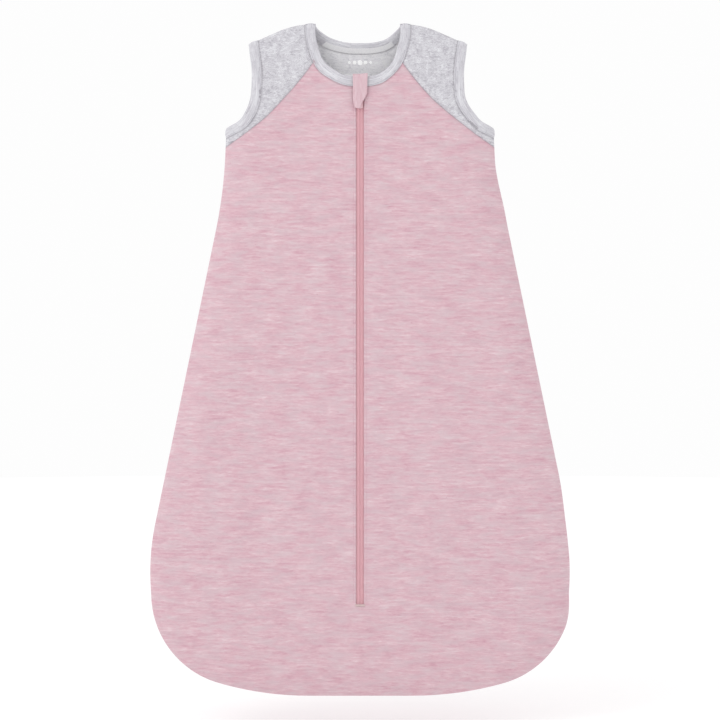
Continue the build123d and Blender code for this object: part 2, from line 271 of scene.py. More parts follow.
def surface(points, back, lift=0.0, plain=False):
    """Points of the outer cloth, and the directions that face out of it."""
    step = 0.12
    sign = 1.0 if back else -1.0
    far = depth(points, back, plain)
    slope = []
    for axis in ((step, 0), (0, step)):
        more = depth(points + axis, back, plain)
        less = depth(points - axis, back, plain)
        slope.append((more - less) / (2 * step))
    normals = units(np.stack([-slope[0], np.full(len(points), sign), -slope[1]], 1))
    across = points[:, 0] + sway(points[:, 0], points[:, 1])
    where = np.stack([across, sign * far, points[:, 1]], 1)
    return where + normals * lift, normals


# ---------------------------------------------------------------- meshes


pieces = {}


def make_object(name, points, faces, uv, normals=None):
    """A piece from points in millimetres. uv and normals are one for each corner of each face."""
    mesh = bpy.data.meshes.new(name)
    mesh.from_pydata((np.asarray(points) * MM).tolist(), [], [list(map(int, f)) for f in faces])
    mesh.update()
    layer = mesh.uv_layers.new(name="UVMap")
    layer.data.foreach_set("uv", (np.asarray(uv, np.float32) * MM).ravel())
    mesh.polygons.foreach_set("use_smooth", [True] * len(mesh.polygons))
    if normals is not None:
        mesh.normals_split_custom_set(np.asarray(normals).tolist())
    made = bpy.data.objects.new(name, mesh)
    bpy.context.scene.collection.objects.link(made)
    pieces[name] = made
    return made


def shell(name, points, normals, triangles, uv, thick, lift=0.0):
    """A sheet of cloth with a real thickness, inwards from its outer face."""
    n = len(points)
    outer = points + normals * lift
    inner = outer - normals * thick
    sides = np.concatenate([triangles[:, [0, 1]], triangles[:, [1, 2]], triangles[:, [2, 0]]])
    code = sides[:, 0] * n + sides[:, 1]
    edge = sides[~np.isin(code, sides[:, 1] * n + sides[:, 0])]
    a, b = edge[:, 0], edge[:, 1]
    rim = np.concatenate([np.stack([b, a, a + n], 1), np.stack([b, a + n, b + n], 1)])
    faces = np.concatenate([triangles, triangles[:, ::-1] + n, rim])
    where = np.concatenate([outer, inner])
    both = np.concatenate([normals, -normals])
    corner = both[faces]
    p = where[rim]
    flat = np.cross(p[:, 1] - p[:, 0], p[:, 2] - p[:, 0])
    flat /= np.maximum(np.linalg.norm(flat, axis=1), 1e-12)[:, None]
    corner[-len(rim):] = flat[:, None, :]
    both_uv = np.concatenate([uv, uv])[faces].reshape(-1, 2)
    return make_object(name, where, faces, both_uv, corner.reshape(-1, 3))


def grid_faces(rows, columns, closed_columns=False, closed_rows=False):
    """Two triangles for each cell of a grid of points."""
    r = np.arange(rows if closed_rows else rows - 1)
    c = np.arange(columns if closed_columns else columns - 1)
    r, c = (x.ravel() for x in np.meshgrid(r, c, indexing="ij"))
    down, across = (r + 1) % rows, (c + 1) % columns
    a, b, d, e = r * columns + c, r * columns + across, down * columns + across, down * columns + c
    return np.concatenate([np.stack([a, b, d], 1), np.stack([a, d, e], 1)])


def grid_of(x, y, z):
    """A grid of points from its coordinates, each spread over the rows or columns that it lacks."""
    return np.stack(np.broadcast_arrays(x, y, z), 2)


def grid_shell(name, grid, thick, uv=None):
    """A strip of cloth from a grid of points. Its outer face looks forwards at its last row."""
    uv = grid[:, :, [0, 2]] if uv is None else uv
    rows, columns = grid.shape[:2]
    normals = units(np.cross(np.gradient(grid, axis=1), np.gradient(grid, axis=0)))
    faces = grid_faces(rows, columns)
    if normals[-1, columns // 2, 1] > 0:
        normals = -normals
        faces = faces[:, ::-1]
    shell(name, grid.reshape(-1, 3), normals.reshape(-1, 3), faces, uv.reshape(-1, 2), thick)


def end_fan(first, count, flip):
    """Triangles that close the end of a tube, whose ring begins at point first."""
    fan = np.array([[first, first + i, first + i + 1] for i in range(1, count - 1)])
    return fan[:, ::-1] if flip else fan


def tubes(name, paths, radius):
    """Threads or wires of round section along paths, all in one mesh.
    A path is points and their outward directions."""
    all_points, all_faces, all_uv, base = [], [], [], 0
    around = np.linspace(0, 2 * math.pi, THREAD_SIDES, endpoint=False)
    for path, up in paths:
        tangent = units(np.gradient(path, axis=0))
        side = units(np.cross(tangent, up))
        lift = np.cross(side, tangent)
        n = len(path)
        r = np.full(n, radius)
        r[[0, -1]] *= 0.25
        ring = (
            path[:, None]
            + r[:, None, None] * np.cos(around)[None, :, None] * side[:, None]
            + r[:, None, None] * np.sin(around)[None, :, None] * lift[:, None]
        )
        all_points.append(ring.reshape(-1, 3))
        all_faces.append(grid_faces(n, THREAD_SIDES, closed_columns=True) + base)
        for first, flip in ((base, False), (base + (n - 1) * THREAD_SIDES, True)):
            all_faces.append(end_fan(first, THREAD_SIDES, flip))
        all_uv.append(np.stack([np.repeat(np.arange(n) * radius, THREAD_SIDES), np.tile(around, n)], 1))
        base += n * THREAD_SIDES
    faces = np.concatenate(all_faces)
    make_object(name, np.concatenate(all_points), faces, np.concatenate(all_uv)[faces].reshape(-1, 2))


def stitches(name, line, back, lift, mirrors=(1, -1), plain=True):
    """Lockstitches along a line of the front view, one short thread for each, on one or both halves."""
    line = resample(line, 0.5)
    at = np.arange(len(line)) * 0.5
    starts = np.arange(STITCH_GAP, at[-1] - STITCH, STITCH + STITCH_GAP)
    where = (starts[:, None] + np.linspace(0, STITCH, 5)[None, :]).ravel()
    flat = np.stack([np.interp(where, at, line[:, 0]), np.interp(where, at, line[:, 1])], 1)
    arch = np.tile(np.array([-1.2, 0.3, 0.6, 0.3, -1.2]) * THREAD, len(starts)) + lift
    paths = []
    for mirror in mirrors:
        points, up = surface(flat * (mirror, 1), back, plain=plain)
        points = (points + up * arch[:, None]).reshape(-1, 5, 3)
        paths += list(zip(points, up.reshape(-1, 5, 3)))
    tubes(name, paths, THREAD)


# ---------------------------------------------------------------- the cloth of the body


def near_cells(points, size):
    """The cells of a square grid that hold a point, with the cells round them."""
    cells = set()
    for i, j in np.floor(points / size).astype(int):
        cells.update((i + a, j + b) for a in (-1, 0, 1) for b in (-1, 0, 1))
    return cells


def plan(back):
    """The right half of one face as triangles in the front view, with every seam an edge."""
    neck = neck_back if back else neck_front
    raglan = raglan_back if back else raglan_front
    lines = [outline]
    lines += [shifted(outline, -d) for d in (0.3, 1.0, 2.2, 4.2, 7.5, 12.0)]
    rims = (HIDDEN_EDGE, BINDING - 0.6, BINDING + 0.6, BINDING + 2.0)
    lines += [shifted(neck, d) for d in rims] + [shifted(armhole, -d) for d in rims]
    lines += [shifted(raglan, d) for d in (-4.0, -2.4, -1.0, -0.5, 0, 0.5, 1.0, 2.4, 4.0)]
    lines.append(np.array([(0, 6), (0, -LENGTH - 6)], float))
    if not back:
        below = -ZIP_END
        for x in [SLIT + d for d in (0, 0.25, 0.7, 1.3, 1.9, ZIP_STITCH_IN, 3.4)] + [LINING_EDGE]:
            lines.append(resample([(x, -40), (x, below)], 5.0))
        lines.append(np.array([(0, below), (SLIT, below)], float))
        past = below - PAST_ZIP
        lines.append(np.array([(0, past), (LINING_EDGE, past), (LINING_EDGE, below)], float))
        lines.append(resample([(0.9, below), (0.9, -LENGTH)], 5.0))
        fold = np.array([FOLD_TOP, (0, below)], float)
        lines += [resample(shifted(fold, -d), 5.0) for d in (0, 3, 6, 9, 12)]
    coords, edges = [], []
    for line in lines:
        line = resample(line, 3.0) if len(line) > 3 else resample(line, 6.0)
        edges += [(len(coords) + i, len(coords) + i + 1) for i in range(len(line) - 1)]
        coords += line.tolist()
    taken = near_cells(np.array(coords), GRID * CLEAR)
    for j in range(int(LENGTH / (GRID * ROWS_APART)) + 2):
        for i in range(int(HALF_WIDE / GRID)):
            x = (i + 0.5 * (j % 2)) * GRID + 1.2
            z = -j * GRID * ROWS_APART
            if (math.floor(x / (GRID * CLEAR)), math.floor(z / (GRID * CLEAR))) not in taken:
                coords.append([x, z])
    result = delaunay_2d_cdt([Vector(c) for c in coords], edges, [], 0, 1e-4)
    points = np.array([tuple(v) for v in result[0]], float)
    triangles = np.array(result[2], int)
    a, b, c = (points[triangles[:, k]] for k in range(3))
    area = (b[:, 0] - a[:, 0]) * (c[:, 1] - a[:, 1]) - (c[:, 0] - a[:, 0]) * (b[:, 1] - a[:, 1])
    triangles = np.where((area < 0)[:, None], triangles[:, ::-1], triangles)
    middle = (a + b + c) / 3
    opening = shifted(neck, HIDDEN_EDGE)
    hole = np.concatenate([opening, [(-5, opening[-1, 1]), (-5, FAR_UP), (opening[0, 0], FAR_UP)]])
    arm_edge = shifted(armhole, -HIDDEN_EDGE)
    arm_far = [(FAR_OUT, arm_edge[-1, 1]), (FAR_OUT, FAR_UP), (arm_edge[0, 0], FAR_UP)]
    arm = np.concatenate([arm_edge, arm_far])
    keep = inside(BODY, middle) & ~inside(hole, middle) & ~inside(arm, middle)
    keep &= (middle[:, 0] > 0) & (np.abs(area) > 1e-5)
    yoke_far = [(FAR_OUT, raglan[-1, 1]), (FAR_OUT, FAR_UP), (raglan[0, 0] - 30, FAR_UP)]
    yoke = inside(np.concatenate([raglan, yoke_far]), middle)
    in_slit = np.zeros(len(middle), bool)
    in_tapes = np.zeros(len(middle), bool)
    if not back:
        in_slit = (middle[:, 0] < SLIT) & (middle[:, 1] > -ZIP_END)
        in_tapes = (middle[:, 0] < LINING_EDGE) & (middle[:, 1] > -ZIP_END - PAST_ZIP)
    return points, triangles[keep], {"yoke": yoke[keep], "slit": in_slit[keep], "tapes": in_tapes[keep]}


def all_over():
    """Both halves of the front and back, with one set of outward directions, so that shading runs on
    across seams."""
    where, flat, faces, marks = [], [], [], {"yoke": [], "slit": [], "tapes": [], "left": [], "back": []}
    base = 0
    for back in (False, True):
        points, triangles, found = plan(back)
        for left in (False, True):
            view = points * ((-1, 1) if left else (1, 1))
            place, _ = surface(view, back)
            joined = edge_distance(points) < 0.02
            place[joined, 1] = 0
            turned = triangles[:, ::-1] if left != back else triangles
            where.append(place)
            flat.append(view)
            faces.append(turned + base)
            base += len(points)
            for key in ("yoke", "slit", "tapes"):
                marks[key].append(found[key])
            marks["left"].append(np.full(len(triangles), left))
            marks["back"].append(np.full(len(triangles), back))
    where, flat, faces = np.concatenate(where), np.concatenate(flat), np.concatenate(faces)
    marks = {key: np.concatenate(value) for key, value in marks.items()}
    p = where[faces]
    facing = np.cross(p[:, 1] - p[:, 0], p[:, 2] - p[:, 0])
    shown = ~marks["slit"]
    side = np.sign(where[:, 1]) * (where[:, 2] < -60)
    key = np.round(np.column_stack([where, side]) * 50).astype(np.int64)
    _, same = np.unique(key, axis=0, return_inverse=True)
    same = same.ravel()
    total = np.zeros((same.max() + 1, 3))
    for k in range(3):
        np.add.at(total, same[faces[shown, k]], facing[shown])
    normals = total[same]
    normals /= np.maximum(np.linalg.norm(normals, axis=1), 1e-9)[:, None]
    return where, flat, faces, normals, marks


BODY_POINTS, BODY_FLAT, BODY_FACES, BODY_NORMALS, MARKS = all_over()


def seam_shade_depth(points, back):
    """How deep in a seam each point lies, from 0 to 1, for painted shade: a darker line along the seams,
    the bindings' edges and the slit's edge.
    """
    half = np.stack([np.abs(points[:, 0]), points[:, 1]], 1)
    seam = distance_to(raglan_back if back else raglan_front, half)
    neck = distance_to(neck_back if back else neck_front, half)
    arm = distance_to(armhole, half)
    found = 0.75 * bell(seam, 0.75)
    found = np.maximum(found, bell(np.maximum(np.minimum(neck, arm) - BINDING, 0), 0.9))
    if not back:
        slit_edge = 0.25 * bell(half[:, 0] - SLIT, 0.5)
        found = np.maximum(found, slit_edge * (points[:, 1] > -ZIP_END))
    return found


def cloth(name, chosen, thick, lift=0.0):
    """A piece of the body's cloth from the chosen triangles."""
    used, local = np.unique(BODY_FACES[chosen], return_inverse=True)
    local = local.reshape(-1, 3)
    from_zip = np.maximum(np.abs(BODY_FLAT[used, 0]), -ZIP_END - 2 - BODY_FLAT[used, 1] + PAST_ZIP)
    if lift:
        over_tape = (BODY_POINTS[used, 1] < 0) * (1 - smooth(from_zip, 21, 29))
        lift = (lift - 2.1 * over_tape)[:, None]
    made = shell(name, BODY_POINTS[used], BODY_NORMALS[used], local, BODY_FLAT[used], thick, lift)
    # Painted shade along the seams, the bindings' edges and the slit's edge, kept on the points for the
    # material
    behind = BODY_POINTS[used, 1] > 0
    seam_shade_depths = np.where(behind, seam_shade_depth(BODY_FLAT[used], True), seam_shade_depth(BODY_FLAT[used], False))
    mark = made.data.attributes.new("seam_shade", "FLOAT", "POINT")
    mark.data.foreach_set("value", np.tile(seam_shade_depths, 2).astype(np.float32))
    return made


for side_name, on_side in (("left", MARKS["left"]), ("right", ~MARKS["left"])):
    front = on_side & ~MARKS["back"]
    cloth(f"front_cloth_{side_name}", front & ~MARKS["slit"] & ~MARKS["yoke"], OUTER_THICK)
    cloth(f"yoke_{side_name}", on_side & MARKS["yoke"], OUTER_THICK)
    cloth(f"front_lining_{side_name}", front & ~MARKS["tapes"], LINING_THICK, LINING_LIFT)
cloth("back_cloth", MARKS["back"] & ~MARKS["yoke"], OUTER_THICK)
cloth("back_lining", MARKS["back"], LINING_THICK, LINING_LIFT)


# ---------------------------------------------------------------- bindings

PROFILE = [
    (10.45, -1.3), (10.5, -0.4), (10.35, 0.15), (9.95, 0.42), (9.5, 0.4), (9.15, 0.24), (8.8, 0.32),
    (8.2, 0.62), (7.0, 0.86), (5.5, 0.95), (4.0, 0.92), (2.6, 0.72), (1.5, 0.36), (0.7, -0.2), (0.2, -0.95),
    (0.0, -1.75), (0.15, -2.55), (0.7, -3.2), (1.6, -3.6), (3.5, -3.85), (6.0, -3.9), (8.6, -3.7),
    (9.2, -3.55), (10.0, -3.65), (10.45, -3.3),
]


def line_inside(edge, sign, distance):
    """The part of a moved edge line that lies on the body, with its ends on the outline."""
    line = resample(shifted(edge, sign * distance), 0.5)
    on = inside(BODY, line)
    first, last = np.flatnonzero(on)[[0, -1]]
    kept = [line[i] for i in range(first, last + 1)]
    for end, beyond in ((0, first - 1), (-1, last + 1)):
        if 0 <= beyond < len(line):
            pair = np.array([kept[end], line[beyond]])
            near = distance_to(outline, pair)
            cross = pair[0] + (pair[1] - pair[0]) * near[0] / max(near.sum(), 1e-9)
            kept = [cross] + kept if end == 0 else kept + [cross]
    return np.array(kept)


def lattice(edge, sign, distances, shares):
    """Points of the front view along an edge, one row for each share of the way and one column for
    each distance."""
    columns = []
    for d in distances:
        line = line_inside(edge, sign, d)
        at = np.concatenate([[0], np.cumsum(np.linalg.norm(np.diff(line, axis=0), axis=1))])
        columns.append(np.stack([np.interp(shares * at[-1], at, line[:, k]) for k in (0, 1)], 1))
    return np.stack(columns, 1), at[-1]


def binding_rows(edge, sign, shares, back, mirror):
    """Rows of the folded binding's section, along one edge of one face."""
    distances = [s for s, _ in PROFILE]
    flat, length = lattice(edge, sign, distances, shares)
    flat = flat * (mirror, 1)
    place, up = surface(flat.reshape(-1, 2), back, plain=True)
    along = shares * length
    ripple = 0.1 * np.sin(TURN * along / 6.3) + 0.07 * np.sin(TURN * along / 11.7 + 1)
    rippled = ripple[:, None] * (np.array(distances) > 1.5)[None, :]
    height = np.array([h for _, h in PROFILE])[None, :] + rippled
    place = place.reshape(*flat.shape[:2], 3) + up.reshape(*flat.shape[:2], 3) * height[:, :, None]
    around = np.cumsum([0] + [math.dist(PROFILE[i], PROFILE[i + 1]) for i in range(len(PROFILE) - 1)])
    uv = np.stack(np.meshgrid(along, around, indexing="ij"), 2)
    return place, uv


def binding(name, parts, closed):
    """A binding from rows of its section, as one closed tube."""
    place = np.concatenate([p for p, _ in parts])
    shift, rows_uv = 0.0, []
    for _, uv in parts:
        rows_uv.append(uv + (shift - uv[0, 0, 0], 0))
        shift = rows_uv[-1][-1, 0, 0]
    uv = np.concatenate(rows_uv)
    rows, columns = place.shape[:2]
    faces = grid_faces(rows, columns, closed_columns=True, closed_rows=closed)
    if not closed:
        ends = end_fan(0, columns, False), end_fan((rows - 1) * columns, columns, True)
        faces = np.concatenate([faces, *ends])
    points = place.reshape(-1, 3)
    p = points[faces]
    if (p[:, 0] * np.cross(p[:, 1], p[:, 2])).sum() < 0:
        faces = faces[:, ::-1]
    make_object(name, points, faces, uv.reshape(-1, 2)[faces].reshape(-1, 2))


def neck_shares(count):
    """Close together at the shoulder, where the cloth turns over."""
    return 1 - np.cos(np.linspace(0, math.pi / 2, count))


NECK_RUN = 86.0  # the front neckline's length on one side
both_ends = (1 - np.cos(np.linspace(0, math.pi, 150))) / 2
slit_share = 1 - SLIT / NECK_RUN
for side_name, mirror in MIRRORS:
    rows = binding_rows(neck_front, 1, neck_shares(100) * slit_share, False, mirror)
    binding(f"neckband_{side_name}", [rows], False)
    place_back, uv_back = binding_rows(armhole, -1, both_ends, True, mirror)
    front_half = binding_rows(armhole, -1, both_ends, False, mirror)
    back_half = place_back[::-1][1:-1], uv_back[::-1][1:-1] * (-1, 1)
    binding(f"arm_binding_{side_name}", [front_half, back_half], True)
half_back, other_back = (binding_rows(neck_back, 1, neck_shares(70), True, mirror) for _, mirror in MIRRORS)
across = [half_back, (other_back[0][::-1][1:], other_back[1][::-1][1:] * (-1, 1))]
binding("neckband_back", across, False)

# Stitching
front_neck_line = line_inside(neck_front, 1, SEAM_IN)
front_neck_line = front_neck_line[front_neck_line[:, 0] > SLIT + 0.5]
zip_line = np.array([(SLIT + ZIP_STITCH_IN, -72), (SLIT + ZIP_STITCH_IN, -ZIP_END + 1)], float)
for side_name, mirror in MIRRORS:
    stitches(f"neck_stitches_{side_name}", front_neck_line, False, BINDING_STITCH_LIFT, (mirror,))
    stitches(f"zip_stitches_{side_name}", zip_line, False, 0.12, (mirror,), plain=False)
stitches("neck_stitches_back", line_inside(neck_back, 1, SEAM_IN), True, BINDING_STITCH_LIFT)
arm_line = line_inside(armhole, -1, SEAM_IN)
stitches("arm_stitches_front", arm_line, False, BINDING_STITCH_LIFT)
stitches("arm_stitches_back", arm_line, True, BINDING_STITCH_LIFT)


# ---------------------------------------------------------------- zip


TAPE_X = np.array([0.06, 0.1, 0.25, 0.5, 0.9, 1.4, 2.0, 2.8, 3.8, 5.0, 7.5, 10.0, 12.0, 14.0, 15.8])
TAPE_RISE = np.array([0.45, 0.7, 0.95, 1.1, 1.15, 1.05, 0.8, 0.55, 0.35, 0.15, 0, 0, 0, 0, 0])
TAPE_END = 616.0
TAPE_THICK = 0.8
COIL_TOP = 72.9
COIL_PITCH = 1.25
COIL_ENDS = 5.2  # the coils end this far above the zip's end
tape_z = -np.arange(ZIP_TOP, TAPE_END, 2.0)
for side_name, mirror in MIRRORS:
    wave = 0.06 * np.sin(tape_z / 5.1)[:, None]
    tape_y = FRONT_Y + 2.2 - TAPE_RISE[None, :] + wave
    grid_shell(f"tape_{side_name}", grid_of(mirror * TAPE_X[None, :], tape_y, tape_z[:, None]), TAPE_THICK)
    turns = np.arange(0, (ZIP_END - COIL_ENDS - COIL_TOP) / COIL_PITCH, 1 / 12)
    phase = 2 * math.pi * (turns + (0.5 if mirror > 0 else 0.0))
    coil_x = mirror * (1.35 + 1.15 * np.cos(phase))
    coil_y = FRONT_Y + 4.25 + 0.75 * np.sin(phase)
    wound = np.stack([coil_x, coil_y, -COIL_TOP - COIL_PITCH * turns], 1)
    tubes(f"coil_{side_name}", [(wound, np.tile([0.0, 0.0, 1.0], (len(wound), 1)))], 0.3)

# Guard: the strip behind the zip, whose top shows over the left end of the neck binding
GUARD_END = 605.0
guard_x = np.linspace(-15.8, 12.0, 12)[None, :]
top = -66.0 + 13.2 * smooth(-guard_x, 4.5, 9.0)
guard_z = top + -np.arange(0, 1.0001, 1 / 180)[:, None] * (GUARD_END + top)
narrowed = 1 - 0.54 * smooth(-guard_z, 480, 560)
guard_x = guard_x[0, 0] + (guard_x - guard_x[0, 0]) * narrowed
guard_y = FRONT_Y + 7.0 + 0.15 * np.sin(guard_z / 19 + guard_x / 7)
grid_shell("guard", grid_of(guard_x, guard_y, guard_z), TAPE_THICK)

# Bar tack: a dense bar of thread across the end of the slit
TACK_THREADS = 26
rise = np.linspace(0, 1, 7)
tack_up = np.tile([0.0, -1.0, 0.0], (len(rise), 1))
tack_paths = []
for i in range(TACK_THREADS):
    x = -4.8 + i * 0.384
    path = [x + 0.25 * rise, FRONT_Y - 0.15 - 0.45 * np.sin(math.pi * rise), -ZIP_END - 2.5 + 2.6 * rise]
    tack_paths.append((np.stack(path, 1), tack_up))
tubes("bar_tack", tack_paths, 0.21)

# Garage: a tab folded over the top of the zip, sewn inside the left half
LEG = [
    (-9.0, -62), (-9.3, -58), (-9.8, -55.4), (-11.6, -53.9), (-14.6, -53.4), (-17.2, -53.7), (-18.6, -54.9),
    (-19.0, -57.2), (-18.9, -63), (-18.75, -70), (-18.75, -78), (-18.9, -84), (-19.0, -89.6),
]
LEG_STEP = 0.6
leg = resample(LEG, LEG_STEP)
for _ in range(3):
    leg[1:-1] = (leg[:-2] + 2 * leg[1:-1] + leg[2:]) / 4
in_front = leg[:, 0] < -15
drop = -leg[:, 1]
right_edge = np.where(in_front, 8.0 - 7.0 * smooth(drop, 71, 90.5) - 0.4 * smooth(drop, 52, 66), 8.0)
left_edge = np.where(in_front, -7.6 + 2.4 * smooth(drop, 80, 90.5) ** 2 + 0.4 * smooth(drop, 52, 70), -7.6)
tip_cut = 1.6 * smooth(drop, 88.2, 90.2) * in_front
right_edge = right_edge - tip_cut
left_edge = left_edge + tip_cut
across = np.concatenate([[0, 0.02, 0.05], np.linspace(0.1, 0.9, 13), [0.95, 0.98, 1]])
edge_fall = 0.5 * np.clip(1 - np.minimum(across, 1 - across) / 0.06, 0, 1) ** 2
tab_x = left_edge[:, None] + (right_edge - left_edge)[:, None] * across[None, :]
tilt = 1.6 * (across[None, :] - 0.5) * in_front[:, None] * (1 - smooth(drop, 52, 62))[:, None]
path_tangent = units(np.gradient(leg, axis=0))
out_y, out_z = -path_tangent[:, 1], path_tangent[:, 0]
if out_y[-1] > 0:
    out_y, out_z = -out_y, -out_z
belly = 0.35 * np.sin(math.pi * across)[None, :] * smooth(drop, 55, 68)[:, None] * in_front[:, None]
lift_out = belly - edge_fall[None, :]
tab_y = leg[:, 0][:, None] + lift_out * out_y[:, None]
tab_z = leg[:, 1][:, None] + tilt + lift_out * out_z[:, None]
garage_uv = np.stack(np.broadcast_arrays(tab_x, -np.arange(len(leg))[:, None] * LEG_STEP), 2)
grid_shell("garage_tab", grid_of(tab_x, tab_y, tab_z), 1.1, garage_uv)

# A row of stitches round the tab's edge
inset = 1.3
front_rows = np.flatnonzero(in_front & (drop > 53) & (drop < 88.4))
border = [(left_edge[row] + inset, leg[row, 1]) for row in front_rows]
bottom = front_rows[-1]
for share in np.linspace(0.2, 0.8, 5):
    x = left_edge[bottom] + inset + (right_edge[bottom] - left_edge[bottom] - 2 * inset) * share
    border.append((x, leg[bottom, 1]))
border += [(right_edge[row] - inset, leg[row, 1]) for row in front_rows[::-1]]
border = resample(border, 0.5)
border_y = np.interp(-border[:, 1], drop[front_rows], leg[front_rows, 0])
paths = []
arch = np.array([-0.2, 0.06, 0.12, 0.06, -0.2])
for first in range(1, len(border) - 5, 6):
    part = slice(first, first + 5)
    path = np.stack([border[part, 0], border_y[part] - 0.05 - arch, border[part, 1]], 1)
    paths.append((path, np.tile([0.0, -1.0, 0.0], (5, 1))))
tubes("garage_stitches", paths, 0.17)

# ---------------------------------------------------------------- small sewn parts inside

# Tape over the seam inside the back neck
strip_in = np.linspace(5.2, 10.7, 6)
half_strip, half_length = lattice(neck_back, 1, strip_in, np.linspace(0.4, 1, 40))
whole = np.concatenate([half_strip * (-1, 1), half_strip[::-1][1:]])
place, up = surface(whole.reshape(-1, 2), True, lift=-4.15, plain=True)
shape = (*whole.shape[:2], 3)
tape_along = np.linspace(-0.58 * half_length, 0.58 * half_length, whole.shape[0])
tape_uv = np.stack(np.meshgrid(tape_along, strip_in, indexing="ij"), 2)
grid_shell("neck_tape_strip", place.reshape(shape), 0.6, tape_uv)

# A plain printed motif: five round dots
DOT_CORNERS = 28
around = np.linspace(0, 2 * math.pi, DOT_CORNERS, endpoint=False)
discs, disc_faces = [], []
for i, size in enumerate((1.3, 1.8, 2.5, 1.8, 1.3)):
    middle = np.array([(i - 2) * 5.6, -38.0])
    base = len(discs)
    discs += [middle, *(middle + size * np.stack([np.cos(around), np.sin(around)], 1))]
    disc_faces += [(base, base + 1 + k, base + 1 + (k + 1) % DOT_CORNERS) for k in range(DOT_CORNERS)]
discs = np.array(discs)
place, up = surface(discs, True, lift=LINING_LIFT - LINING_THICK - 0.12)
shell("neck_dots", place, -up, np.array(disc_faces), discs, 0.1)

# Blank label in the left side seam
label_x = np.linspace(-165.0, -138.0, 16)[None, :]
label_z = np.linspace(-307.5, -352.5, 24)[:, None]
label_y = 1.6 * np.sin((label_x + 165) / 14.0) * (0.4 + 0.6 * np.abs(label_z + 307) / 45)
grid_shell("side_label", grid_of(label_x, label_y, label_z), 0.4)

# ---------------------------------------------------------------- materials


def colour(r, g, b):
    """A colour given as it looks on a screen, 0 to 255, as the linear value that a shader takes."""
    seen = (r / 255, g / 255, b / 255)
    return (*[v / 12.92 if v <= 0.04045 else ((v + 0.055) / 1.055) ** 2.4 for v in seen], 1.0)


def grey(value):
    return (value, value, value, 1)


BLACK, WHITE = grey(0), grey(1)


class Look:
    """A material's nodes, built step by step."""

    def __init__(self, name, roughness, sheen, specular):
        self.material = bpy.data.materials.new(name)
        self.material.use_nodes = True
        self.tree = self.material.node_tree
        self.shader = self.tree.nodes["Principled BSDF"]
        self.dial("Roughness", roughness)
        self.dial("Sheen Weight", sheen)
        self.dial("Sheen Roughness", 0.6)
        self.dial("Specular IOR Level", specular)

    def dial(self, socket, value):
        self.shader.inputs[socket].default_value = value

    def glow(self, strength):
        self.dial("Emission Color", WHITE)
        self.dial("Emission Strength", strength)

    def node(self, kind, **values):
        """A node with its settings and its inputs' values, by name."""
        made = self.tree.nodes.new(kind)
        for key, value in values.items():
            if key in made.inputs:
                made.inputs[key].default_value = value
            else:
                setattr(made, key, value)
        return made

    def link(self, a, b):
        self.tree.links.new(a, b)

    def uv(self, scale, place=(0, 0, 0)):
        coords = self.node("ShaderNodeUVMap", uv_map="UVMap")
        mapping = self.node("ShaderNodeMapping", Scale=(*scale, 1), Location=place)
        self.link(coords.outputs["UV"], mapping.inputs["Vector"])
        return mapping.outputs["Vector"]

    def uv_parts(self, scale):
        """The pattern's two coordinates, each times its scale."""
        split = self.node("ShaderNodeSeparateXYZ")
        self.link(self.uv(scale), split.inputs[0])
        return split.outputs[0], split.outputs[1]

    def noise(self, scale, detail, rough, place=(0, 0, 0), distortion=0.0):
        """Noise that follows the pattern's coordinates."""
        made = self.node(
            "ShaderNodeTexNoise", Scale=1.0, Detail=detail, Roughness=rough, Distortion=distortion
        )
        self.link(self.uv(scale, place), made.inputs["Vector"])
        return made.outputs["Fac"]

    def grain(self, scale, detail):
        """Even noise in the object's own space."""
        made = self.node("ShaderNodeTexNoise", Scale=scale, Detail=detail)
        self.link(self.node("ShaderNodeTexCoord").outputs["Object"], made.inputs["Vector"])
        return made.outputs["Fac"]

    def math(self, kind, a, b=None):
        made = self.node("ShaderNodeMath", operation=kind)
        for i, value in enumerate((a, b)):
            if isinstance(value, (int, float)):
                made.inputs[i].default_value = value
            elif value is not None:
                self.link(value, made.inputs[i])
        return made.outputs[0]

    def scaled(self, value, by, plus=None):
        """The value times by, and plus a number or another value."""
        made = self.math("MULTIPLY", value, by)
        return made if plus is None else self.math("ADD", made, plus)

    def ramp(self, value, stops):
        made = self.node("ShaderNodeValToRGB")
        while len(made.color_ramp.elements) < len(stops):
            made.color_ramp.elements.new(0.5)
        for element, (at, shade) in zip(made.color_ramp.elements, stops):
            element.position = at
            element.color = shade
        self.link(value, made.inputs["Fac"])
        return made.outputs["Color"]

    def mix(self, factor, a, b, blend="MIX"):
        made = self.node("ShaderNodeMix", data_type="RGBA", blend_type=blend)
        for socket, value in ((made.inputs[0], factor), (made.inputs[6], a), (made.inputs[7], b)):
            if isinstance(value, (int, float, tuple)):
                socket.default_value = value
            else:
                self.link(value, socket)
        return made.outputs[2]

    def knit(self, across, along):
        """The small V stitches of a knitted face, as a height from 0 to 1, with their size in metres."""
        u, v = self.uv_parts((1 / across, 1 / along))
        column = self.math("PINGPONG", u, 0.5)
        loop = self.math("SINE", self.scaled(self.scaled(column, 1.3, v), 2 * math.pi))
        rib = self.math("SINE", self.scaled(column, 2 * math.pi))
        return self.math("MULTIPLY", self.scaled(loop, 0.35, 0.65), rib)

    def bump(self, height, distance, strength, before=None):
        made = self.node("ShaderNodeBump", Distance=distance, Strength=strength)
        self.link(height, made.inputs["Height"])
        if before is not None:
            self.link(before, made.inputs["Normal"])
        return made.outputs["Normal"]

    def finish(self, shade, normal=None, roughness=None):
        for value, socket in ((shade, "Base Color"), (normal, "Normal"), (roughness, "Roughness")):
            if value is not None:
                self.link(value, self.shader.inputs[socket])
        return self.material


